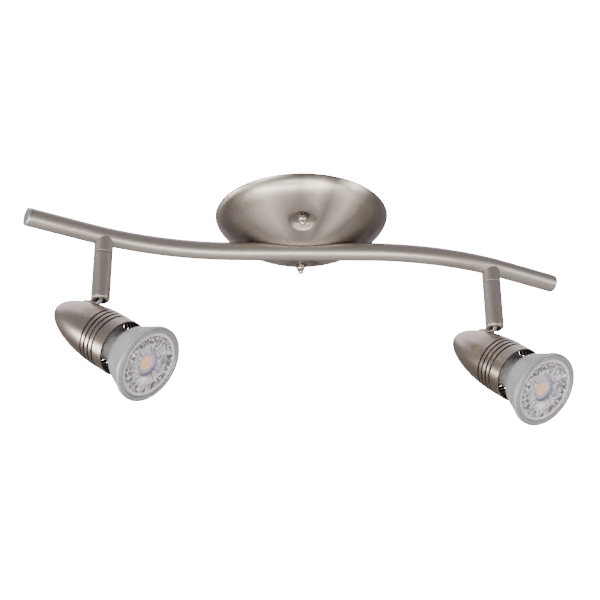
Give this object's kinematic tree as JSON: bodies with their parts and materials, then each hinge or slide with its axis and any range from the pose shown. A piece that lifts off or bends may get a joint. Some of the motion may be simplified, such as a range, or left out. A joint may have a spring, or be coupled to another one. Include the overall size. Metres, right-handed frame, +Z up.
{
  "type": "ceiling spotlight bar",
  "caption": "Ceiling spotlight bar: domed canopy, S-curved round tube and bullet-shaped spotlights that swivel and tilt on short stems.",
  "frame": {"origin": "centre of the mounting strap's top face, in the ceiling plane on the canopy's axis", "axes": "+Z up into the ceiling; +X along the bar, its longest extent; the lamps face towards -Y"},
  "size_m": [0.3598, 0.1199, 0.1474],
  "materials": {
    "brushed_nickel": "satin nickel plate with a fine circular or lengthways grain",
    "bright_nickel": "bright nickel plate",
    "zinc_steel": "zinc-plated steel",
    "green_zinc": "green earth-screw finish",
    "lamp_silver": "fine matt silver paint on aluminium",
    "lens_clear": "clear moulded acrylic lens",
    "led_phosphor": "orange-yellow phosphor over the LED, white board",
    "ceramic_white": "unglazed white ceramic",
    "base_white": "white heat-proof plastic",
    "wire_sleeve": "heat-proof sleeved lead",
    "block_nylon": "natural nylon"
  },
  "bodies": {
    "root": {"mounting_strap": "zinc_steel", "earth_screw": "green_zinc", "stud_front": "zinc_steel", "stud_rear": "zinc_steel", "stud_nut_front": "zinc_steel", "stud_nut_rear": "zinc_steel", "star_washer_front": "bright_nickel", "star_washer_rear": "bright_nickel", "cap_nut_front": "bright_nickel", "cap_nut_rear": "bright_nickel", "canopy": "brushed_nickel", "supply_nipple": "zinc_steel", "nipple_nut": "zinc_steel", "terminal_block": "block_nylon", "bar_tube": "brushed_nickel", "end_cap_left": "bright_nickel", "end_cap_right": "bright_nickel", "stem_collar_left": "brushed_nickel", "stem_collar_right": "brushed_nickel", "swivel_nipple_left": "zinc_steel", "swivel_nipple_right": "zinc_steel", "swivel_washer_left": "zinc_steel", "swivel_washer_right": "zinc_steel", "swivel_nut_left": "zinc_steel", "swivel_nut_right": "zinc_steel", "feed_lead_left": "wire_sleeve", "feed_lead_right": "wire_sleeve"},
    "left_stem": {"left_stem": "brushed_nickel", "left_hinge_screw": "bright_nickel"},
    "left_head": {"left_hinge_lug": "bright_nickel", "left_lug_screw": "zinc_steel", "left_bridge": "zinc_steel", "left_housing": "brushed_nickel", "left_lampholder": "ceramic_white", "left_holder_screw": "zinc_steel", "left_lamp_lead": "wire_sleeve"},
    "left_lamp": {"left_lamp_body": "lamp_silver", "left_lens_ring": "lamp_silver", "left_lens": "lens_clear", "left_led_module": "led_phosphor", "left_lamp_base": "base_white", "left_lamp_pin_a": "bright_nickel", "left_lamp_pin_b": "bright_nickel"},
    "right_stem": {"right_stem": "brushed_nickel", "right_hinge_screw": "bright_nickel"},
    "right_head": {"right_hinge_lug": "bright_nickel", "right_lug_screw": "zinc_steel", "right_bridge": "zinc_steel", "right_housing": "brushed_nickel", "right_lampholder": "ceramic_white", "right_holder_screw": "zinc_steel", "right_lamp_lead": "wire_sleeve"},
    "right_lamp": {"right_lamp_body": "lamp_silver", "right_lens_ring": "lamp_silver", "right_lens": "lens_clear", "right_led_module": "led_phosphor", "right_lamp_base": "base_white", "right_lamp_pin_a": "bright_nickel", "right_lamp_pin_b": "bright_nickel"}
  },
  "joints": [
    {"name": "left_swivel", "type": "hinge", "parent": "root", "child": "left_stem", "pos_m": [-0.12997, -0.02014, -0.0395], "axis": [0, 0, 1], "range_deg": [-175, 175]},
    {"name": "left_tilt", "type": "hinge", "parent": "left_stem", "child": "left_head", "pos_m": [-0.12997, -0.02014, -0.068], "axis": [0.4587, 0.8886, 0], "range_deg": [-36.7, 53.3]},
    {"name": "left_lamp_twist", "type": "hinge", "parent": "left_head", "child": "left_lamp", "pos_m": [-0.09439, -0.0385, -0.12622], "axis": [0.7125, -0.3677, -0.5976], "range_deg": [0, 25]},
    {"name": "right_swivel", "type": "hinge", "parent": "root", "child": "right_stem", "pos_m": [0.12997, 0.02014, -0.0395], "axis": [0, 0, 1], "range_deg": [-175, 175]},
    {"name": "right_tilt", "type": "hinge", "parent": "right_stem", "child": "right_head", "pos_m": [0.12997, 0.02014, -0.068], "axis": [0.7169, 0.6972, 0], "range_deg": [-40.6, 49.4]},
    {"name": "right_lamp_twist", "type": "hinge", "parent": "right_head", "child": "right_lamp", "pos_m": [0.15506, -0.00567, -0.12881], "axis": [0.5293, -0.5443, -0.6508], "range_deg": [0, 25]}
  ]
}
